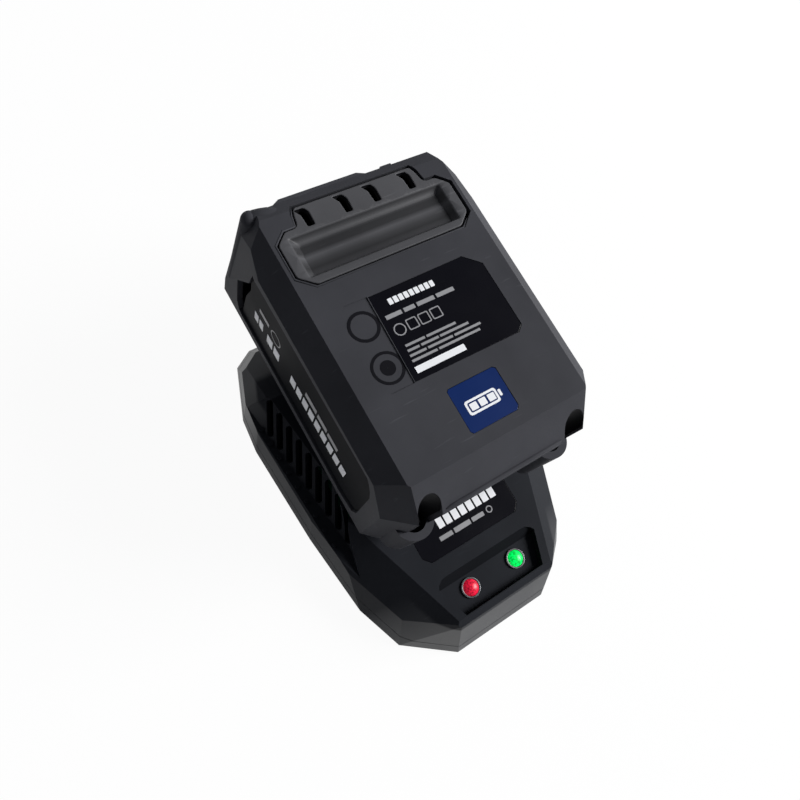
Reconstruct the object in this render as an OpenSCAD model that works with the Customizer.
// Slide-in battery pack docked on its charger base.
// Millimetres, +Z up, lamps towards -Y, origin under the middle of the whole, on the surface it stands on.

/* [Charger shell] */
// Widest part of the charger base
charger_w = 100; // [96:1:106]
// Length of the charger base
charger_l = 137.5; // [134:0.5:142]
// Distance of the charger's front edge from the origin
charger_front = 75; // [74:0.5:76]
// Height of the seam between the two shells
seam_z = 6.5; // [5.5:0.25:7.5]
// Height of the shoulder where the walls turn inwards
shoulder_z = 15.5; // [14.5:0.25:16.5]
// Height of the deck that the pack stands over
deck_z = 23.9; // [23:0.1:25]
// Wall of both shells
shell_wall = 2.2; // [1.8:0.1:2.6]
// How far the feet lift the base
foot_lift = 1.5; // [1:0.1:2]
// Diameter of a rubber foot
foot_d = 12; // [10:0.5:13]

/* [Vents] */
// Vents on each flank
vent_count = 9; // [6:1:9]
// Distance from one vent to the next
vent_pitch = 5.75; // [5.5:0.05:5.9]
// Width of a vent
vent_w = 2.7; // [2.2:0.1:2.9]
// Length of a vent between the centres of its ends
vent_l = 11; // [9.5:0.1:11]
// Rake of the vents in the plane of the flank
vent_rake = 47; // [40:1:50]

/* [Lamp pocket] */
// Depth of the pocket below the deck
pocket_depth = 2.9; // [2.4:0.1:3.2]
// Rear edge of the pocket, from the origin
pocket_rear = 47.5; // [47:0.1:48.5]
// Front edge of the pocket, from the origin
pocket_front = 62.2; // [61.6:0.1:62.4]
// Distance of each lamp from the middle
lamp_x = 10; // [9:0.25:11]
// Distance of the lamps from the origin
lamp_y = 55.6; // [55:0.1:56.4]
// Radius of a lamp lens
lens_r = 2.9; // [2.5:0.1:3.1]
// Radius of the bezel's collar
bezel_r = 3.6; // [3.6:0.1:4]

/* [Battery pack] */
// Width of the pack
pack_w = 76; // [76:0.5:80]
// Distance of the pack's front wall from the origin
pack_front = 28.45; // [28.2:0.05:30]
// Distance of the pack's rear foot from the origin
pack_rear = 75; // [75:0.5:78]
// Height of the pack's box
pack_h = 48; // [47.5:0.5:52]
// Height of the gap between the charger's deck and the pack's box
dock_gap = 10.6; // [10.4:0.1:11]
// Wall of the pack
pack_wall = 2; // [1.8:0.1:2.2]
// Height of the pack's lower shell above its floor line
housing_h = 3.5; // [3:0.25:3.5]
// Width of the long chamfers beside the top face
side_chamfer_w = 6.3; // [5.5:0.1:6.3]
// Height of the long chamfers beside the top face
side_chamfer_h = 5.9; // [5:0.1:5.9]
// Length of the bevel at the front of the top face
nose_bevel_l = 10.6; // [9:0.1:11]
// Height of the bevel at the front of the top face
nose_bevel_h = 12.4; // [11:0.1:13]
// Clearance between pieces that are laid into each other
fit_gap = 0.1; // [0.05:0.05:0.2]

/* [Rails] */
// Width over the pack's sliding flanges
flange_w = 54; // [53:0.5:54]
// Height of a flange
flange_h = 4; // [3.5:0.1:4.2]
// Width of the neck above the flanges
neck_w = 44; // [43:0.5:45]
// Running clearance between the pack and the charger's rails
rail_gap = 0.4; // [0.3:0.05:0.5]
// Wall of a charger rail
rail_wall = 4.4; // [4:0.1:4.4]
// Start of the charger's rails, forward of the origin
rail_front = 18; // [17:0.5:18.5]
// End of the charger's rails, behind the origin
rail_rear = 33; // [31:0.5:34]
// Start of the pack's rail block, forward of the origin
block_front = 8; // [7.5:0.25:8]
// End of the pack's rail block, behind the origin
block_rear = 60; // [58:0.5:60]

/* [Contacts] */
// Distance between neighbouring contacts
contact_pitch = 10; // [9.5:0.1:10]
// Thickness of a contact blade
blade_t = 1; // [0.8:0.05:1.1]
// Height of a contact blade
blade_h = 5; // [4:0.25:5]
// Reach of the blades behind the origin
blade_reach = 4; // [3:0.25:4.5]
// Width of a contact slot in the pack
slot_w = 2.4; // [2.3:0.1:2.8]

/* [Cells] */
// Diameter of a cell
cell_d = 21.2; // [20.8:0.1:21.3]
// Distance between neighbouring cells
cell_pitch = 21.5; // [21.4:0.05:21.5]
// Thickness of a welded strap
strap_t = 0.3; // [0.2:0.05:0.4]

/* [Release button] */
// Length of the button's outline
button_l = 25.1; // [24.8:0.1:25.1]
// Width of the button's outline
button_w = 60.2; // [59:0.1:60.4]
// Distance of the button's front edge behind the origin
button_front = 43.35; // [43.2:0.05:43.6]
// Gap around the button
button_gap = 0.55; // [0.4:0.05:0.7]
// Travel of the button
button_travel = 3.5; // [3:0.1:3.6]
// Depth of the finger scoop in the button
scoop_depth = 4.8; // [4.4:0.1:5]
// Radius of the pin that the lever turns on
pin_r = 1.5; // [1.25:0.05:1.75]
// Running clearance of the lever on its pin
pin_gap = 0.05; // [0.03:0.01:0.08]
// Width of the latch hook
hook_w = 16; // [14:0.5:17]
// Reach of the hook's tooth below the pack's box
hook_reach = 4; // [3.5:0.1:4.2]

/* [Inlet] */
// Radius of the cord hole in the grommet
inlet_r = 3.2; // [2.8:0.1:3.4]
// Height of the inlet above the surface
inlet_z = 9; // [8.9:0.1:9.3]

/* [Hidden] */

$fn = 48;
far = 400;          // size of a cutting block, larger than the whole part
skin = 0.01;        // overshoot of a cut past a face

// Planes

// A plane through three points: its unit normal and its distance from the origin
function plane(a, b, c) =
    let (n = cross(b - a, c - a), u = n / norm(n)) [u, u * a];
function flip(p) = [-p[0], -p[1]];
function mirrored(p) = [[-p[0].x, p[0].y, p[0].z], p[1]];
// The same plane with its normal turned away from a point inside the body
function outward(p, inside) = p[0] * inside > p[1] ? flip(p) : p;

module beyond(p, inset = 0) {
    translate(p[0] * (p[1] - inset))
        rotate([0, acos(p[0].z), atan2(p[0].y, p[0].x)])
            translate([-far / 2, -far / 2, 0]) cube(far);
}

// What lies inside all the planes, each moved inwards by inset, between two heights
module inside_planes(planes, inset, z0, z1) {
    difference() {
        translate([-far / 4, -far / 4, z0]) cube([far / 2, far / 2, z1 - z0]);
        for (p = planes) beyond(p, inset);
    }
}

module both_sides() {
    children();
    mirror([1, 0, 0]) children();
}

module box(x, y, z) {
    translate([x[0], y[0], z[0]]) cube([x[1] - x[0], y[1] - y[0], z[1] - z[0]]);
}

module plate(outline, z0, z1) {
    translate([0, 0, z0]) linear_extrude(z1 - z0) polygon(outline);
}

module post(r, x, y, z0, z1) {
    translate([x, y, z0]) cylinder(r = r, h = z1 - z0);
}

function mirrored_outline(half) = concat(half, [for (i = [len(half) - 1:-1:0]) [-half[i].x, half[i].y]]);

// Charger form

charger_rear = charger_l - charger_front;
base_z = foot_lift;

// A point of the charger: share of the half width, share of the length, height
function spot(across, along, z) = [across * charger_w / 2, along * charger_l - charger_front, z];

// Outline of the base at half width, from the front to the rear
nose_a = spot(0.400, 0.000, base_z);
nose_b = spot(0.756, 0.099, base_z);
nose_top = spot(0.406, 0.076, deck_z - 0.9);   // top of the crease beside the front wall
wall_a = spot(0.882, 0.225, base_z);
wall_b = spot(0.956, 0.451, base_z);
wall_c = spot(1.000, 0.727, base_z);
tail_a = spot(0.976, 0.822, base_z);
tail_b = spot(0.826, 0.967, base_z);
tail_c = spot(0.680, 1.000, base_z);
// Outline of the shoulder
shoulder_a = spot(0.708, 0.160, shoulder_z);
shoulder_b = spot(0.830, 0.291, shoulder_z);
shoulder_c = spot(0.912, 0.440, shoulder_z);
shoulder_d = spot(0.965, 0.727, shoulder_z);
shoulder_e = spot(0.948, 0.833, shoulder_z);
shoulder_f = spot(0.860, 0.917, shoulder_z);
// Outline of the deck
deck_a = spot(0.410, 0.093, deck_z);
deck_b = spot(0.650, 0.345, deck_z);
deck_c = spot(0.740, 0.463, deck_z);
deck_d = spot(0.810, 0.812, deck_z);
deck_e = spot(0.000, 0.800, deck_z);
flank_top = spot(0.890, 0.787, deck_z - 1.4);
slope_foot = spot(0.000, 0.953, shoulder_z);

charger_core = [0, 0, (base_z + shoulder_z) / 2];
function both(p) = [outward(p, charger_core), mirrored(outward(p, charger_core))];

front_face = outward(plane(nose_a, [-nose_a.x, nose_a.y, nose_a.z], nose_top), charger_core);
// Soft fold between the deck and the front wall
fold_rim = 0.3;
fold_l = 2.8;
fold_h = 2;
fold_y = -pocket_front - fold_rim;
front_fold = outward(
    plane([0, fold_y, deck_z], [9, fold_y, deck_z], [0, fold_y - fold_l, deck_z - fold_h]), charger_core);
rear_face = outward(
    plane(spot(-0.2, 1, base_z), spot(0.2, 1, base_z), slope_foot), charger_core);
rear_slope = outward(
    plane(deck_e, slope_foot, slope_foot + [10, 0, 0]), charger_core);
wall_planes = concat(
    [front_face, rear_face],
    both(plane(nose_a, nose_b, nose_top)),
    both(plane(nose_b, shoulder_a, nose_top)),
    both(plane(nose_b, wall_a, shoulder_a)),
    both(plane(wall_a, wall_b, shoulder_c)),
    both(plane(wall_b, wall_c, shoulder_d)),
    both(plane(wall_c, tail_a, shoulder_e)),
    both(plane(tail_a, tail_b, shoulder_f)),
    both(plane(tail_b, tail_c, shoulder_f)));
flank = outward(plane(shoulder_c, shoulder_d, flank_top), charger_core);
top_planes = concat(
    [rear_slope, front_fold],
    both(plane(deck_a, deck_b, shoulder_a)),
    both(flank),
    both(plane(deck_c, deck_d, flank_top)),
    both(plane(shoulder_e, shoulder_f, deck_d)));
charger_planes = concat(wall_planes, top_planes);

module charger_form(inset, z0, z1) {
    inside_planes(charger_planes, inset, z0, z1);
}

// The same below the shoulder, where only the walls bound it
module charger_foot(inset, z0, z1) {
    inside_planes(wall_planes, inset, z0, z1);
}

// Vents

vent_start = spot(0.804, 0.807, deck_z);
vent_tilt = 49;         // fall of the vented face
vent_turn = 7.5;        // turn of the vented face towards the nose
vent_first = 2.2;       // from the deck's edge to the centre of a vent's upper end
vent_normal = [cos(vent_turn) * sin(vent_tilt), -sin(vent_turn) * sin(vent_tilt), cos(vent_tilt)];
vent_face = [vent_normal, vent_normal * vent_start];
ledge_z = shoulder_z + 0.6;
bump_r = 0.8;
bump_h = 0.7;
bump_out = 6.4;         // from the start of the row of vents outwards to the first bump
bump_ahead = 7.4;       // and forwards
bump_turn = 3.6;        // turn of the row of bumps towards the nose
bump_pitch = 1.04 * vent_pitch;
// Upright plane through the crease that ends the vented face
crease_foot = spot(0.830, 0.293, shoulder_z);
crease = plane(deck_c, crease_foot, deck_c + [0, 0, 9]);
crease_plane = crease[0].y > 0 ? flip(crease) : crease;
// Upright plane that ends the vented face at the rear
panel_end_in = spot(0.836, 0.812, deck_z);
panel_end = plane(panel_end_in, spot(0.948, 0.827, deck_z), panel_end_in + [0, 0, 9]);
panel_end_plane = panel_end[0].y < 0 ? flip(panel_end) : panel_end;

// What is cut away over the vented face, grown inwards by inset for the inside of the shell
module vent_panel(inset = 0) {
    difference() {
        intersection() {
            beyond(vent_face, inset);
            box([20, charger_w], [-charger_w, charger_w], [ledge_z - inset, deck_z + 5]);
        }
        beyond(crease_plane, -inset);
        beyond(panel_end_plane, -inset);
    }
}

module vent_at(i) {
    drift = i * vent_pitch;
    translate(vent_start - [drift * tan(vent_turn), drift, 0]) children();
}

module vent() {
    depth = 3 * shell_wall;
    rotate([0, 0, -vent_turn]) rotate([0, vent_tilt, 0]) rotate([0, 0, -vent_rake])
        translate([vent_first, 0, -depth]) linear_extrude(2 * depth) {
            translate([0, -vent_w / 2]) square([vent_l, vent_w]);
            circle(d = vent_w);
            translate([vent_l, 0]) circle(d = vent_w);
        }
}

// Heights of the dock

pack_z = deck_z + dock_gap;
pack_top = pack_z + pack_h;
block_z = deck_z + rail_gap;
lip_z = block_z + flange_h + rail_gap;
rail_top = pack_z - rail_gap;
rail_in = flange_w / 2 + rail_gap + 0.2;
lip_in = neck_w / 2 + rail_gap + 0.2;
deck_under = deck_z - shell_wall;

module rail() {
    box([rail_in, rail_in + rail_wall], [-rail_front, rail_rear], [deck_z - skin, rail_top]);
    box([lip_in, rail_in + rail_wall], [-rail_front, rail_rear], [lip_z, rail_top]);
}

// Boards of the charger

board_z = foot_lift + 6.5;
board_t = 1.6;
board_top = board_z + board_t;
board_half = 34;
board_y = [-28, 39];
board_post_at = [[30, -23], [-30, -23], [30, 34], [-30, 34]];
board_post_r = 2.6;
board_pin_r = 1.2;
lamp_board_z = board_z + 5;
lamp_board_top = lamp_board_z + board_t;
lamp_board_half = 15;
lamp_board_w = 8.4;
lamp_post_r = 2;
lamp_post_x = 5;

// Contacts of the charger

contacts = [for (i = [-1.5:1:1.5]) i * contact_pitch];
blade_z = block_z + 2.7;
holder_y = [3 - rail_front - 6, -block_front - 3];
holder_half = contacts[3] + 3;
holder_rim = 2.5;
holder_foot_z = deck_under - 6;
blade_tail_y = [holder_y[0] + 2, holder_y[0] + 5];

// Lamp pocket

pocket_z = deck_z - pocket_depth;
pocket_floor = 1.8;
pocket_slope = 3.6;     // run of the pocket's sloping rear wall
pocket_corner_x = 21.2;
pocket_corner_y = pocket_rear + 2.8;
pocket_outline = mirrored_outline([
    [pocket_corner_x - 4.2, -pocket_front], [pocket_corner_x, -pocket_corner_y],
    [pocket_corner_x - 0.8, 1.2 - pocket_corner_y], [pocket_corner_x - 3.2, -pocket_rear]
]);
pocket_back = plane(
    [0, -pocket_rear, deck_z], [9, -pocket_rear, deck_z], [0, -pocket_rear - pocket_slope, pocket_z]);
pocket_back_up = pocket_back[0].z < 0 ? flip(pocket_back) : pocket_back;
tray_half = pocket_corner_x + shell_wall;
lamp_hole_r = lens_r + 0.45;
lens_play = 0.05;

module lamp_pocket() {
    intersection() {
        plate(pocket_outline, pocket_z, deck_z + 5);
        beyond(pocket_back_up);
    }
}

// Solid stuff round the pocket, inside the shell
module pocket_tray() {
    box([-tray_half, tray_half], [-charger_front, -pocket_rear + shell_wall],
        [pocket_z - pocket_floor, deck_z]);
}

// Nameplate

function flat(p) = [p.x, p.y];
name_outline = mirrored_outline(
    [flat(spot(0.37, 0.2436, 0)), flat(spot(0.42, 0.2633, 0)), flat(spot(0.42, 0.3527, 0))]);
name_inlay = 0.8;
name_t = 0.7;

// Screws and bosses of the charger

charger_screw_at = [[31, -38], [-31, -38], [29, 45], [-29, 45]];
boss_r = 3.6;
boss_top = shoulder_z - 0.5;
screw_r = 1.4;
screw_play = 0.05;
hole_r = 1.8;
head_r = 2.7;
head_h = 1.8;
head_play = 0.3;
charger_seat = base_z + 2.6;

module screw(q, seat, tip, up) {
    // A screw with its head on the seat, whose shank runs to the tip
    s = up ? 1 : -1;
    difference() {
        union() {
            post(screw_r, q.x, q.y, min(seat, tip), max(seat, tip));
            post(head_r, q.x, q.y, min(seat, seat - s * head_h), max(seat, seat - s * head_h));
        }
        for (turn = [0, 90])
            translate([q.x, q.y, seat - s * head_h]) rotate(turn)
                cube([head_r * 1.2, 0.7, head_h], center = true);
    }
}

// Feet

foot_at = [[27, -56], [-27, -56], [38, 33], [-38, 33]];
foot_sink = 0.8;
foot_r = foot_d / 2;
// Low pads under the front corners of the lower shell
corner_pad_x = [17.5, 26];
corner_pad_l = 9;
corner_pad_h = 1.2;
corner_pad_in = 0.7;

// Inlet

inlet_y = [charger_rear - 12, charger_rear + 1.5];
grommet_r = inlet_r + 1.4;
grommet_rim = 0.6;
grommet_rim_t = 1.8;
inlet_cut_y = [inlet_y[0] + grommet_rim_t + 0.2, inlet_y[1] + 1];

// Pack form

half_w = pack_w / 2;
top_half = half_w - side_chamfer_w;
chamfer_z = pack_top - side_chamfer_h;
nose_y = nose_bevel_l - pack_front;
tail_fold_y = pack_rear - 7.4;
tail_top_y = pack_rear - 3.1;
tail_top_z = pack_top - 1.8;
tail_corner = [half_w - 3.4, pack_rear - 2, pack_top - 10.2];
pack_l = pack_front + pack_rear;
pack_core = [0, (pack_rear - pack_front) / 2, pack_z + pack_h / 2];
function turned(p) = outward(p, pack_core);
function turned_both(p) = [turned(p), mirrored(turned(p))];

pack_planes = concat(
    [
        turned(plane([0, nose_y, pack_top], [9, nose_y, pack_top],
            [0, -pack_front, pack_top - nose_bevel_h])),
        [[0, -1, 0], pack_front],
        turned(plane([0, tail_fold_y, pack_top], [9, tail_fold_y, pack_top],
            [0, tail_top_y, tail_top_z])),
        turned(plane([0, tail_top_y, tail_top_z], [9, tail_top_y, tail_top_z],
            [0, pack_rear, pack_z]))
    ],
    turned_both([[1, 0, 0], half_w]),
    turned_both(plane([top_half, 0, pack_top], [top_half, 9, pack_top], [half_w, 0, chamfer_z])),
    turned_both(plane(tail_corner,
        [half_w, pack_rear - 0.5, pack_z + 8.5], [half_w, pack_rear - 11.2, pack_z + 25.8])),
    turned_both(plane(tail_corner,
        [top_half - 0.7, pack_rear - 7.6, pack_top], [half_w - 0.4, pack_rear - 14.1, pack_top - 5.4])),
    turned_both(plane([top_half - 0.2, nose_y + 0.6, pack_top],
        [half_w, nose_y + 5.6, chamfer_z], [half_w - 7.3, nose_y - 8.2, pack_top - 10])),
    turned_both(plane([half_w, 7.9 - pack_front, 0], [half_w - 7, 1.2 - pack_front, 0],
        [half_w - 7, 1.2 - pack_front, 9])));

module pack_form(inset, z0, z1) {
    inside_planes(pack_planes, inset, z0, z1);
}

split_z = pack_z + housing_h;
floor_t = 1.8;
floor_z = pack_z + floor_t;
lid_t = 2.4;
lid_under = pack_top - lid_t;

// Front screw wells of the pack

well_x = half_w - 11.3;
well_y = 3.05 - pack_front;
well_at = [[well_x, well_y], [-well_x, well_y]];
well_r = 3.9;
well_wall = 1.5;
ear_r = 6.4;
ear_top = pack_z + 22;
ear_split = pack_z + 11.5;
well_seat = pack_z + 15.5;
well_tip = pack_z + 3.5;

// Rear screws of the pack, driven from below
rear_x = half_w - 7.4;
rear_at = [[rear_x, pack_rear - 13.6], [-rear_x, pack_rear - 13.6]];
rear_seat = pack_z + 2.2;
rear_boss_top = pack_z + 15;
rear_pilot_top = rear_boss_top - 1.5;

// Grip pad on the rear face
pad_z = [pack_top - 6.5, pack_top - 2];
pad_out = 1.3;
pad_root = tail_top_y - 1;
pad_face = tail_top_y + pad_out + 0.3;
// Outline of the pad from above, with a ramp at each end
pad_outline = [
    [-24.5, pad_root], [-24.5, tail_top_y], [-21.4, pad_face],
    [3.8, pad_face], [7.3, tail_top_y], [7.3, pad_root]
];
nub_x = [12.6, 16.5];
nub_out = 0.6;
// Rounded post along the left rear corner, from its round top downwards
post_top = [6.1 - half_w, pack_rear - 4, pack_top - 3.9];
post_foot = [2.5 - half_w, pack_rear - 3, pack_z + 11.5];
post_r = 2.8;

// Side plates

plate_sink = 1.2;
plate_t = 0.5;
sink_x = half_w - plate_sink;
// A point of a side outline: share of the pack's length and share of its height
function side_spot(along, up) = [along * pack_l - pack_front, up * pack_h];
gap_edge = [
    side_spot(0.885, 0.0875), side_spot(0.867, 0.402), side_spot(0.842, 0.569), side_spot(0.842, 0.669)
];
side_outline = concat([
    side_spot(0.207, 0.077), side_spot(0.147, 0.108), side_spot(0.131, 0.190), side_spot(0.133, 0.371),
    side_spot(0.137, 0.662), side_spot(0.148, 0.737), side_spot(0.167, 0.808), side_spot(0.181, 0.838),
    side_spot(0.830, 0.804)
    ], [for (i = [3:-1:0]) gap_edge[i]], [side_spot(0.880, 0.077)]);
gap_outline = concat(gap_edge, [side_spot(0.911, 0.462), side_spot(0.910, 0.173), side_spot(0.895, 0.0875)]);

module on_side(outline, x0, x1) {
    translate([x0, 0, pack_z]) rotate([90, 0, 90]) linear_extrude(x1 - x0) polygon(outline);
}

// Plates on the top face

inlay = 0.6;
inlay_t = 0.5;
mark_sink = 0.3;
// A point of the top face: share of the pack's half width and share of its length
function top_spot(across, along) = [across * half_w, along * pack_l - pack_front];
rating_outline = [
    top_spot(-0.371, 0.608), top_spot(0.500, 0.611), top_spot(0.637, 0.5665),
    top_spot(0.6395, 0.352), top_spot(0.582, 0.3345), top_spot(-0.3895, 0.338)
];
capacity_outline = [
    top_spot(-0.200, 0.282), top_spot(0.2105, 0.282), top_spot(0.237, 0.275), top_spot(0.237, 0.153),
    top_spot(0.2105, 0.143), top_spot(-0.200, 0.143), top_spot(-0.218, 0.151), top_spot(-0.218, 0.275)
];
mark_outline = [
    top_spot(-0.379, 0.6095), top_spot(-0.579, 0.611), top_spot(-0.647, 0.584),
    top_spot(-0.655, 0.358), top_spot(-0.595, 0.337), top_spot(-0.395, 0.337)
];

// An outline drawn in by a gap on every side, about its middle
function drawn_in(outline, gap) =
    let (xs = [for (p = outline) p.x], ys = [for (p = outline) p.y],
        mid = [(min(xs) + max(xs)) / 2, (min(ys) + max(ys)) / 2],
        span = [max(xs) - min(xs), max(ys) - min(ys)])
    [for (p = outline) [
        mid.x + (p.x - mid.x) * (1 - 2 * gap / span.x),
        mid.y + (p.y - mid.y) * (1 - 2 * gap / span.y)]];

// Cells

cell_r = cell_d / 2;
strap_room = 1;         // between the end of a cell and the pack's wall
cell_half = half_w - pack_wall - strap_room;
cell_z = floor_z + cell_r + 0.1;
cell_rise = sqrt(pow(cell_pitch, 2) - pow(cell_pitch / 2, 2));
cell_y = well_y + ear_r + cell_r + 1.5;
// Middles of the cells in Y and Z: three below, two above
cell_at = concat(
    [for (i = [0:2]) [cell_y + i * cell_pitch, cell_z]],
    [for (i = [0:1]) [cell_y + (i + 0.5) * cell_pitch, cell_z + cell_rise]]);
holder_x = [cell_half - 7, cell_half - 1];
holder_ring = 1;
cell_play = 0.05;
strap_w = 7;
tab_rise = 4.4;         // of the end straps above the lowest line of their cell

module along_x(r, y, z, x0, x1) {
    translate([x0, y, z]) rotate([0, 90, 0]) cylinder(r = r, h = x1 - x0);
}

module along_y(r, x, z, y0, y1) {
    translate([x, y0, z]) rotate([-90, 0, 0]) cylinder(r = r, h = y1 - y0);
}

// Rail block of the pack

block_wall = 1.7;
hollow_half = neck_w / 2 - 2.8;
hollow_z = block_z + block_wall;
hollow_y = [2 - block_front, block_rear - block_wall];
slot_z = blade_z - 0.8;
slot_h = blade_h + 1.6;
block_board_z = blade_z + blade_h - 0.3;
block_board_t = 1.2;
block_board_y = [14, cell_at[2].x + cell_r - 1];
board_ledge = 1.2;
terminal_y = 11;
clip_t = 0.4;
clip_play = 0.1;
clip_back = blade_reach + 3;
floor_open_rear = cell_at[2].x + cell_r + 0.8;

// Button, lever and hook

button_y = [button_front, button_front + button_l];
button_half = button_w / 2;
button_outline = mirrored_outline([
    [button_half - 4.8, button_y[0]], [button_half, button_y[0] + 4.1],
    [button_half, button_y[0] + 15.4], [button_half - 4, button_y[0] + 19],
    [button_half - 8, button_y[0] + 19], [button_half - 8.6, button_y[0] + 22.5],
    [button_half - 9.8, button_y[1]]
]);
button_plate_t = 2.2;
scoop_half = button_half - 3.6;
scoop_y = [button_y[0] + 3.1, button_y[0] + 15.9];
scoop_wall = 1.4;
scoop_end = 5;
scoop_r = (pow((scoop_y[1] - scoop_y[0]) / 2, 2) + pow(scoop_depth, 2)) / (2 * scoop_depth);
button_under = pack_top - scoop_depth - scoop_wall;
tab_y = [button_y[0] + 6, button_y[0] + 14];
tab_out = button_gap + 0.45;
tab_in = 3;
tab_t = 1.5;
tab_gap = 0.25;
grip_slots = [-17.6, -5.2, 4.6, 17.5];
grip_slot_w = 2.3;
grip_slot_y = [button_y[1] - 7.4, button_y[1] - 1];

spring_at = [[20, button_y[0] + 9.5], [-20, button_y[0] + 9.5]];
spring_r = 3.2;
spring_wire = 0.8;
spring_turns = 6;
spring_seat = pack_z + 25;
seat_r = 4.4;
pilot_r = 1.9;
pilot_h = 4;
button_pilot_h = 3;

lever_back = 14.65;     // from the button's front edge to the pin
lever_rise = 31;        // from the pack's floor line to the pin
lever_at = [button_y[0] + lever_back, pack_z + lever_rise];
lever_front = 9;        // from the pin to the button's rib
lever_rear = 10;        // from the pin to the hook
lever_half = 7;
lever_hub_r = 3.2;
lever_tip_r = 1.5;
lever_arm_t = 2;
lever_foot_half = 4.8;
lever_foot_r = 1.3;
rib_half = 5;
rib_t = 1.6;
rib_play = 0.2;
rib_y = lever_at[0] - lever_front;
rib_z = lever_at[1] + lever_tip_r + rib_play + rib_t / 2;
bracket_x = [lever_half + 0.6, lever_half + 3];
bracket_half = 4;
pin_seat_play = 0.02;

hook_t = 2.8;
hook_half = hook_w / 2;
hook_y = [lever_at[0] + lever_rear - 1.1, lever_at[0] + lever_rear - 1.1 + hook_t];
hook_top = lever_at[1] + 4.5;
hook_play = 0.25;
hook_window_play = 0.4;
hook_guide_t = 2;
hook_guide_top = pack_z + 22;
tooth_z = pack_z - hook_reach;
tooth_tip = 0.9;

// Charger pieces

charger_dark = [0.16, 0.16, 0.18];

module charger_upper_shell() color(charger_dark) difference() {
    union() {
        difference() {
            charger_form(0, seam_z, deck_z);
            both_sides() vent_panel();
            difference() {
                charger_form(shell_wall, seam_z - skin, deck_under);
                both_sides() vent_panel(shell_wall);
                pocket_tray();
                for (q = charger_screw_at) post(boss_r, q.x, q.y, seam_z, deck_z);
            }
        }
        both_sides() rail();
        both_sides() for (i = [0:vent_count - 1])
            translate([vent_start.x + bump_out - i * bump_pitch * tan(bump_turn),
                vent_start.y - bump_ahead - i * bump_pitch, ledge_z - bump_h])
                cylinder(r = bump_r, h = 2 * bump_h, $fn = 16);
    }
    both_sides() for (i = [0:vent_count - 1]) vent_at(i) vent();
    lamp_pocket();
    plate(name_outline, deck_z - name_inlay, deck_z + 1);
    for (s = [-1, 1]) post(lamp_hole_r, s * lamp_x, -lamp_y, lamp_board_top, deck_z);
    box([-holder_half - fit_gap, holder_half + fit_gap],
        [holder_y[0] - fit_gap, holder_y[1] + fit_gap], [deck_under - 1, deck_z + 1]);
    for (q = charger_screw_at) post(screw_r + screw_play, q.x, q.y, seam_z - 1, boss_top);
    along_y(grommet_r + fit_gap, 0, inlet_z, inlet_cut_y[0], inlet_cut_y[1]);
}

module charger_lower_shell() color(charger_dark) difference() {
    union() {
        difference() {
            charger_foot(0, base_z, seam_z);
            charger_foot(shell_wall, base_z + shell_wall, seam_z + 1);
        }
        for (q = charger_screw_at) post(boss_r, q.x, q.y, base_z + 1, seam_z);
        for (q = board_post_at) {
            post(board_post_r, q.x, q.y, base_z + 1, board_z);
            post(board_pin_r, q.x, q.y, board_z - 1, board_top + 0.8);
        }
        for (s = [-1, 1]) post(lamp_post_r, s * lamp_post_x, -lamp_y, base_z + 1, lamp_board_z);
        both_sides() intersection() {
            charger_foot(corner_pad_in, base_z - corner_pad_h, base_z + skin);
            box(corner_pad_x, [-charger_front, -charger_front + corner_pad_l], [0, base_z + 1]);
        }
    }
    for (q = charger_screw_at) {
        post(head_r + head_play, q.x, q.y, base_z - 1, charger_seat);
        post(hole_r, q.x, q.y, base_z, seam_z + 1);
    }
    for (q = foot_at) post(foot_r + fit_gap, q.x, q.y, base_z - 1, base_z + foot_sink);
    along_y(grommet_r + fit_gap, 0, inlet_z, inlet_cut_y[0], inlet_cut_y[1]);
}

module rubber_feet() color([0.08, 0.08, 0.08])
    for (q = foot_at) post(foot_r, q.x, q.y, 0, base_z + foot_sink);

module charger_screws() color("silver")
    for (q = charger_screw_at) screw(q, charger_seat, boss_top - 1, true);

module charger_nameplate() color([0.07, 0.07, 0.08])
    plate(drawn_in(name_outline, fit_gap), deck_z - name_inlay, deck_z - name_inlay + name_t);

module lamp_bezels() color("silver")
    for (s = [-1, 1]) difference() {
        union() {
            post(bezel_r, s * lamp_x, -lamp_y, pocket_z, pocket_z + 0.6);
            post(lamp_hole_r - fit_gap / 2, s * lamp_x, -lamp_y, pocket_z - pocket_floor, pocket_z);
        }
        post(lens_r + lens_play, s * lamp_x, -lamp_y, pocket_z - pocket_floor - 1, pocket_z + 1);
    }

module lens(x) {
    dome_r = 1.5 * lens_r;
    dome_h = dome_r - sqrt(pow(dome_r, 2) - pow(lens_r, 2));
    rim_z = pocket_z + 0.5;
    post(lens_r, x, -lamp_y, lamp_board_top, rim_z);
    intersection() {
        post(lens_r, x, -lamp_y, rim_z - skin, rim_z + lens_r);
        translate([x, -lamp_y, rim_z + dome_h - dome_r]) sphere(r = dome_r);
    }
}

module red_lens() color([0.86, 0.1, 0.2]) lens(-lamp_x);
module green_lens() color([0, 0.85, 0.35]) lens(lamp_x);

module lamp_board() color([0.05, 0.35, 0.2])
    box([-lamp_board_half, lamp_board_half], [-lamp_y - lamp_board_w / 2, -lamp_y + lamp_board_w / 2],
        [lamp_board_z, lamp_board_top]);

module blade(x, gap) {
    t = blade_t / 2 + gap;
    box([x - t, x + t], [blade_tail_y[0] - gap, blade_reach + gap],
        [blade_z - gap, blade_z + blade_h + gap]);
    box([x - t, x + t], [blade_tail_y[0] - gap, blade_tail_y[1] + gap], [board_top, blade_z + 1]);
}

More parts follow.
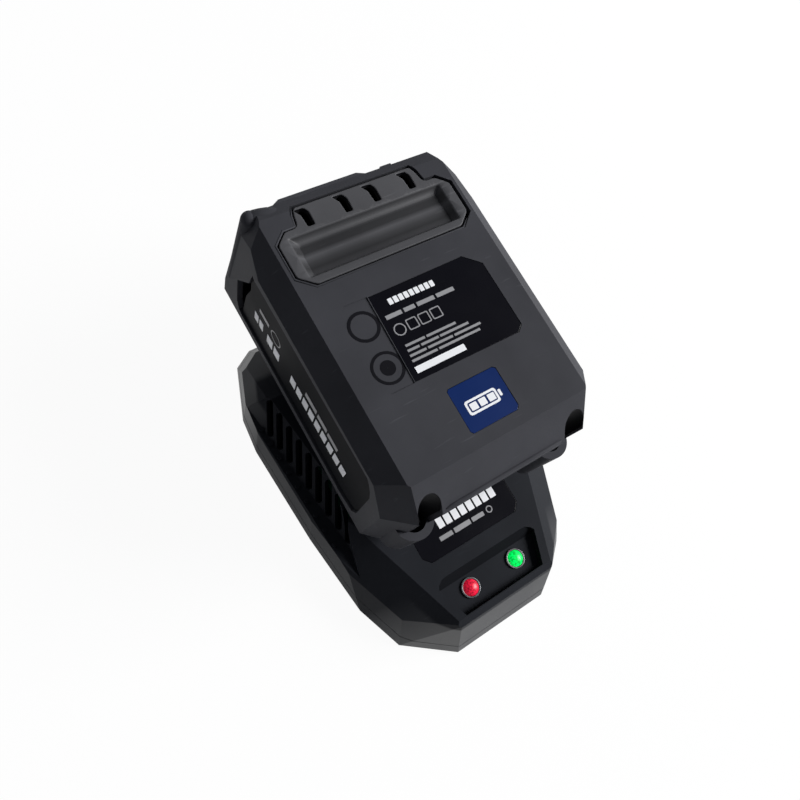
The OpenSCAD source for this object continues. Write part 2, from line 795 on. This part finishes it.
module contact_holder() color([0.1, 0.1, 0.11]) difference() {
    union() {
        box([-holder_half, holder_half], holder_y, [holder_foot_z, rail_top]);
        box([-holder_half - holder_rim, holder_half + holder_rim],
            [holder_y[0] - holder_rim, holder_y[1] + holder_rim], [deck_under - 2, deck_under - fit_gap]);
    }
    for (x = contacts) blade(x, 0.05);
}

module contact_blades() color([0.8, 0.65, 0.3])
    for (x = contacts) blade(x, 0);

module main_board() color([0.05, 0.35, 0.2]) difference() {
    box([-board_half, board_half], board_y, [board_z, board_top]);
    for (q = board_post_at) post(board_pin_r + fit_gap, q.x, q.y, board_z - 1, board_top + 1);
}

stack_top = deck_under - 0.6;
transformer_x = [-11, 13];
transformer_y = [4, 30];
transformer_core_y = [9, 25];

module transformer() color([0.25, 0.22, 0.2]) {
    box(transformer_x, transformer_core_y, [board_top, stack_top]);
    box([transformer_x[0] + 4, transformer_x[1] - 4], transformer_y, [board_top, stack_top - 1.5]);
}

input_cap = [-25, 5.6];
module input_capacitor() color([0.1, 0.12, 0.3])
    along_y(input_cap[1] - fit_gap, input_cap[0], board_top + input_cap[1] - fit_gap, -14, 10);

output_cap = [21, 26];
output_cap_r = 4;
module output_capacitor() color([0.1, 0.12, 0.3])
    post(output_cap_r, output_cap.x, output_cap.y, board_top, stack_top - 0.4);

sink_face = 21;
module heat_sink() color("silver") {
    box([sink_face, sink_face + 1.6], [-16, 14], [board_top, stack_top - 0.8]);
    for (y = [-16:5.7:13]) box([sink_face, sink_face + 8], [y, y + 1.4], [board_top, stack_top - 0.8]);
}

module switching_transistor() color([0.12, 0.12, 0.12]) {
    box([sink_face - 4.4, sink_face], [-7, 3], [board_top + 2, stack_top - 1.2]);
    for (y = [-4.5, -2, 0.5])
        box([sink_face - 3, sink_face - 2.4], [y - 0.4, y + 0.4], [board_top, board_top + 2.1]);
}

module choke() color([0.45, 0.25, 0.12])
    translate([0, -5, board_top + 2.6]) rotate_extrude() translate([4.6, 0]) circle(r = 2.6);

fuse_x = [-27, -11];
fuse_y = 35;
module fuse() color([0.8, 0.8, 0.78]) {
    along_x(2, fuse_y, board_top + 3, fuse_x[0], fuse_x[1]);
    for (x = [fuse_x[0], fuse_x[1] - 3]) {
        along_x(2.4, fuse_y, board_top + 3, x, x + 3);
        box([x + 0.5, x + 2.5], [fuse_y - 1.5, fuse_y + 1.5], [board_top, board_top + 3]);
    }
}

module inlet_grommet() color([0.08, 0.08, 0.08]) difference() {
    union() {
        along_y(grommet_r, 0, inlet_z, inlet_y[0], inlet_y[1]);
        along_y(grommet_r + grommet_rim, 0, inlet_z, inlet_y[0], inlet_y[0] + grommet_rim_t);
    }
    along_y(inlet_r, 0, inlet_z, inlet_y[0] - 1, inlet_y[1] + 1);
}

// Pack pieces

// A post between two points, round at its upper end
module leaning_post(r, foot, head) {
    lean = head - foot;
    translate(foot) rotate([0, acos(lean.z / norm(lean)), atan2(lean.y, lean.x)])
        cylinder(r = r, h = norm(lean));
    translate(head) sphere(r = r);
}

pack_dark = [0.2, 0.2, 0.22];

module battery_cover() color(pack_dark) difference() {
    union() {
        difference() {
            pack_form(0, split_z, pack_top);
            inside_planes(pack_planes, pack_wall, split_z - skin, lid_under);
        }
        intersection() {
            pack_form(skin, split_z, pack_top);
            union() {
                for (q = well_at) post(well_r + well_wall, q.x, q.y, ear_split, pack_top);
                for (q = rear_at) post(boss_r, q.x, q.y, split_z, rear_boss_top);
                both_sides() box([rear_at[0].x, half_w], [rear_at[0].y - rib_t / 2, rear_at[0].y + rib_t / 2],
                    [split_z, rear_boss_top]);
            }
        }
        for (q = well_at) post(ear_r, q.x, q.y, ear_split, ear_top);
        intersection() {
            inside_planes(pack_planes, -pad_out, split_z, pack_top);
            union() {
                plate(pad_outline, pad_z[0], pad_z[1]);
                box(nub_x, [pad_root, tail_top_y + nub_out], pad_z);
            }
        }
        intersection() {
            leaning_post(post_r, post_foot, post_top);
            box([-half_w, 0], [0, pack_rear], [split_z, pack_top]);
        }
    }
    for (q = well_at) {
        post(well_r, q.x, q.y, well_seat, pack_top + 1);
        box([q.x - well_r, q.x + well_r], [-far, q.y], [ear_top, pack_top + 1]);
        post(hole_r, q.x, q.y, ear_split - 1, well_seat + 1);
        post(ear_r + fit_gap, q.x, q.y, split_z - 1, ear_split);
    }
    for (q = rear_at) post(screw_r + screw_play, q.x, q.y, split_z - 1, rear_pilot_top);
    plate(drawn_in(button_outline, -button_gap), lid_under - 1, pack_top + 1);
    both_sides() on_side(side_outline, sink_x, half_w + 1);
    both_sides() on_side(gap_outline, half_w - 2 * pack_wall, half_w + 1);
    plate(rating_outline, pack_top - inlay, pack_top + 1);
    plate(capacity_outline, pack_top - inlay, pack_top + 1);
    plate(mark_outline, pack_top - mark_sink, pack_top + 1);
}

module rail_block() {
    box([-neck_w / 2, neck_w / 2], [-block_front, block_rear], [block_z, pack_z + skin]);
    box([-flange_w / 2, flange_w / 2], [-block_front, block_rear], [block_z, block_z + flange_h]);
}

module battery_housing() color(pack_dark) difference() {
    union() {
        difference() {
            pack_form(0, pack_z, split_z);
            pack_form(pack_wall, floor_z, split_z + 1);
        }
        rail_block();
        for (q = well_at) post(ear_r, q.x, q.y, pack_z, ear_split);
        for (q = rear_at) post(boss_r, q.x, q.y, pack_z + 1, split_z);
        for (q = spring_at) {
            post(seat_r, q.x, q.y, floor_z - 1, spring_seat);
            post(pilot_r, q.x, q.y, spring_seat - 1, spring_seat + pilot_h);
        }
        both_sides() {
            box(bracket_x, [lever_at[0] - bracket_half, lever_at[0] + bracket_half],
                [floor_z - 1, lever_at[1]]);
            along_x(bracket_half, lever_at[0], lever_at[1], bracket_x[0], bracket_x[1]);
            box([hook_half + hook_play, hook_half + hook_play + hook_guide_t],
                [hook_y[0] - hook_play - 1.2, hook_y[1] + hook_play + 1.2], [floor_z - 1, hook_guide_top]);
            box([hook_half - 2, hook_half + hook_play + hook_guide_t],
                [hook_y[1] + hook_play, hook_y[1] + hook_play + 1.2], [floor_z - 1, hook_guide_top]);
        }
    }
    difference() {
        union() {
            box([-hollow_half, hollow_half], hollow_y, [hollow_z, pack_z]);
            box([-hollow_half, hollow_half], [hollow_y[0], floor_open_rear], [hollow_z, floor_z + 1]);
        }
        both_sides() box([hollow_half - board_ledge, hollow_half], block_board_y, [hollow_z, block_board_z]);
    }
    for (x = contacts)
        box([x - slot_w / 2, x + slot_w / 2], [-block_front - 1, hollow_y[0] + 1], [slot_z, slot_z + slot_h]);
    for (q = well_at) post(screw_r + screw_play, q.x, q.y, well_tip - 1, ear_split + 1);
    for (q = rear_at) {
        post(head_r + head_play, q.x, q.y, pack_z - 1, rear_seat);
        post(hole_r, q.x, q.y, pack_z, split_z + 1);
    }
    box([-hook_half - hook_play, hook_half + hook_play],
        [hook_y[0] - hook_play, hook_y[1] + hook_play], [pack_z - 1, floor_z + 1]);
    along_x(pin_r + pin_seat_play, lever_at[0], lever_at[1], -far, far);
}

module cells() color([0.1, 0.45, 0.6])
    for (q = cell_at) along_x(cell_r, q.x, q.y, -cell_half, cell_half);

module cell_holder() difference() {
    intersection() {
        for (q = cell_at) along_x(cell_r + holder_ring, q.x, q.y, holder_x[0], holder_x[1]);
        box([0, half_w], [cell_at[0].x - cell_r - holder_ring, far], [floor_z, lid_under]);
    }
    for (q = cell_at) along_x(cell_r + cell_play, q.x, q.y, 0, half_w);
}

module cell_holder_left() color([0.3, 0.3, 0.32]) mirror([1, 0, 0]) cell_holder();
module cell_holder_right() color([0.3, 0.3, 0.32]) cell_holder();

// A strap across two cells' ends, on the face at x
module strap(a, b, x) {
    run = b - a;
    translate([x, a.x, a.y]) rotate([atan2(run.y, run.x), 0, 0])
        translate([0, -strap_w / 2, -strap_w / 2]) cube([strap_t, norm(run) + strap_w, strap_w]);
}

module cell_straps() color("silver") {
    strap(cell_at[0], cell_at[3], cell_half);
    strap(cell_at[1], cell_at[4], cell_half);
    strap(cell_at[2], cell_at[2] - [0, cell_r - tab_rise], cell_half);
    strap(cell_at[1], cell_at[3], -cell_half - strap_t);
    strap(cell_at[2], cell_at[4], -cell_half - strap_t);
    strap(cell_at[0], cell_at[0] - [0, cell_r - tab_rise], -cell_half - strap_t);
}

module protection_board() color([0.05, 0.35, 0.2])
    box([-hollow_half + fit_gap, hollow_half - fit_gap], block_board_y,
        [block_board_z, block_board_z + block_board_t]);

clip_x = blade_t / 2 + clip_play;
clip_top = block_board_z + block_board_t + clip_t;

module clip(x, gap) {
    for (s = [0, 1]) mirror([s, 0, 0]) translate([s ? -x : x, 0, 0])
        box([clip_x - gap, clip_x + clip_t + gap], [hollow_y[0] + 1 - gap, clip_back + gap],
            [blade_z - gap, blade_z + blade_h + gap]);
    box([x - clip_x - clip_t - gap, x + clip_x + clip_t + gap], [clip_back - clip_t - gap, clip_back + gap],
        [blade_z - gap, clip_top + gap]);
    box([x - clip_x - gap, x + clip_x + gap], [clip_back - clip_t - gap, block_board_y[0] + 3],
        [clip_top - clip_t - gap, clip_top + gap]);
}

module terminal_block() color([0.08, 0.08, 0.09]) difference() {
    box([-hollow_half + fit_gap, hollow_half - fit_gap], [hollow_y[0] + fit_gap, terminal_y],
        [hollow_z + fit_gap / 2, pack_z - 0.4]);
    for (x = contacts) {
        box([x - slot_w / 2, x + slot_w / 2], [hollow_y[0] - 1, clip_back - 1], [slot_z, slot_z + slot_h]);
        clip(x, 0.05);
    }
}

module terminal_clips() color([0.8, 0.65, 0.3])
    for (x = contacts) clip(x, 0);

module side_plate_right() color([0.07, 0.07, 0.08])
    on_side(drawn_in(side_outline, fit_gap), sink_x, sink_x + plate_t);
module side_plate_left() color([0.07, 0.07, 0.08]) mirror([1, 0, 0])
    on_side(drawn_in(side_outline, fit_gap), sink_x, sink_x + plate_t);

module rating_plate() color([0.06, 0.06, 0.07])
    plate(drawn_in(rating_outline, fit_gap), pack_top - inlay, pack_top - inlay + inlay_t);
module capacity_plate() color([0.1, 0.18, 0.42])
    plate(drawn_in(capacity_outline, fit_gap), pack_top - inlay, pack_top - inlay + inlay_t);

module battery_screws() color("silver") {
    for (q = well_at) screw(q, well_seat, well_tip, false);
    for (q = rear_at) screw(q, rear_seat, rear_pilot_top - 1, true);
}

// Wire of a coil spring standing between two heights
spring_steps = 14;
spring_sides = 6;
module spring(q, z0, z1) {
    w = spring_wire / 2;
    n = spring_turns * spring_steps;
    rise = z1 - z0 - spring_wire;
    pts = [for (k = [0:n]) for (j = [0:spring_sides - 1])
        let (a = 360 * k / spring_steps, b = 360 * j / spring_sides, r = spring_r - w + w * cos(b))
        [q.x + r * cos(a), q.y + r * sin(a), z0 + w + rise * k / n + w * sin(b)]];
    s = spring_sides;
    sides = [for (k = [0:n - 1]) for (j = [0:s - 1])
        let (a = k * s + j, b = k * s + (j + 1) % s)
        each [[a, b, b + s], [a, b + s, a + s]]];
    caps = concat(
        [for (j = [1:s - 2]) [0, j + 1, j]],
        [for (j = [1:s - 2]) [n * s, n * s + j, n * s + j + 1]]);
    polyhedron(points = pts, faces = concat(sides, caps));
}

module button_springs() color("silver")
    for (q = spring_at) spring(q, spring_seat, button_under);

module lever_pin() color("silver")
    along_x(pin_r, lever_at[0], lever_at[1], -bracket_x[1], bracket_x[1]);

module scoop() {
    intersection() {
        along_x(scoop_r, (scoop_y[0] + scoop_y[1]) / 2, pack_top - scoop_depth + scoop_r, -far, far);
        translate([0, scoop_y[1] + 1, 0]) rotate([90, 0, 0]) linear_extrude(scoop_y[1] - scoop_y[0] + 2)
            polygon([
                [-scoop_half - 1, pack_top + 1], [-scoop_half, pack_top],
                [-scoop_half + scoop_end, pack_top - scoop_depth - 1],
                [scoop_half - scoop_end, pack_top - scoop_depth - 1],
                [scoop_half, pack_top], [scoop_half + 1, pack_top + 1]
            ]);
    }
}

module grip_slot(x) {
    w = grip_slot_w / 2;
    plate([
        [x - w, grip_slot_y[0]], [x + w, grip_slot_y[0]], [x + w, grip_slot_y[1] - 2],
        [x - w + 0.6, grip_slot_y[1]], [x - w - 2.1, grip_slot_y[1]],
        [x - w - 2.1, grip_slot_y[1] - 1.2], [x - w, grip_slot_y[1] - 2.4]
    ], pack_top - button_plate_t - 1, pack_top + 1);
}

module release_button() color(pack_dark) difference() {
    union() {
        plate(button_outline, pack_top - button_plate_t, pack_top);
        box([-scoop_half - scoop_wall, scoop_half + scoop_wall],
            [scoop_y[0] - scoop_wall, scoop_y[1] + scoop_wall], [button_under, pack_top - 1]);
        both_sides() {
            box([button_half - tab_in, button_half + tab_out], tab_y,
                [lid_under - tab_gap - tab_t, lid_under - tab_gap]);
            box([button_half - tab_in, button_half - 0.5], tab_y,
                [lid_under - tab_gap - tab_t, pack_top - 1]);
        }
        for (q = spring_at) post(pilot_r, q.x, q.y, button_under - button_pilot_h, button_under + skin);
        box([-rib_half, rib_half], [rib_y - rib_t / 2, rib_y + rib_t / 2], [rib_z, button_under + skin]);
        along_x(rib_t / 2, rib_y, rib_z, -rib_half, rib_half);
    }
    scoop();
    for (x = grip_slots) grip_slot(x);
}

module release_lever() color([0.75, 0.75, 0.72]) difference() {
    union() {
        along_x(lever_hub_r, lever_at[0], lever_at[1], -lever_half, lever_half);
        along_x(lever_tip_r, lever_at[0] - lever_front, lever_at[1], -lever_half, lever_half);
        along_x(lever_foot_r, lever_at[0] + lever_rear, lever_at[1], -lever_foot_half, lever_foot_half);
        box([-lever_half, lever_half], [lever_at[0] - lever_front, lever_at[0]],
            [lever_at[1] - lever_arm_t / 2, lever_at[1] + lever_arm_t / 2]);
        box([-lever_foot_half, lever_foot_half], [lever_at[0], lever_at[0] + lever_rear],
            [lever_at[1] - lever_arm_t / 2 + 0.1, lever_at[1] + lever_arm_t / 2 - 0.1]);
    }
    along_x(pin_r + pin_gap, lever_at[0], lever_at[1], -far, far);
}

module latch_hook() color([0.75, 0.75, 0.72]) difference() {
    union() {
        box([-hook_half, hook_half], hook_y, [pack_z, hook_top]);
        translate([-hook_half, 0, 0]) rotate([90, 0, 90]) linear_extrude(2 * hook_half) polygon([
            [hook_y[0], pack_z], [hook_y[0], pack_z - 1.5], [hook_y[1] - tooth_tip, tooth_z],
            [hook_y[1], tooth_z], [hook_y[1], pack_z]
        ]);
    }
    box([-lever_foot_half - hook_window_play, lever_foot_half + hook_window_play],
        [hook_y[0] - 1, hook_y[1] + 1],
        [lever_at[1] - lever_foot_r - hook_window_play, lever_at[1] + lever_foot_r + hook_window_play]);
}

charger_upper_shell();
charger_lower_shell();
rubber_feet();
charger_screws();
charger_nameplate();
lamp_bezels();
red_lens();
green_lens();
lamp_board();
contact_holder();
contact_blades();
main_board();
transformer();
input_capacitor();
output_capacitor();
heat_sink();
switching_transistor();
choke();
fuse();
inlet_grommet();
battery_cover();
battery_housing();
cells();
cell_holder_left();
cell_holder_right();
cell_straps();
protection_board();
terminal_block();
terminal_clips();
side_plate_left();
side_plate_right();
rating_plate();
capacity_plate();
battery_screws();
button_springs();
lever_pin();
release_button();
release_lever();
latch_hook();
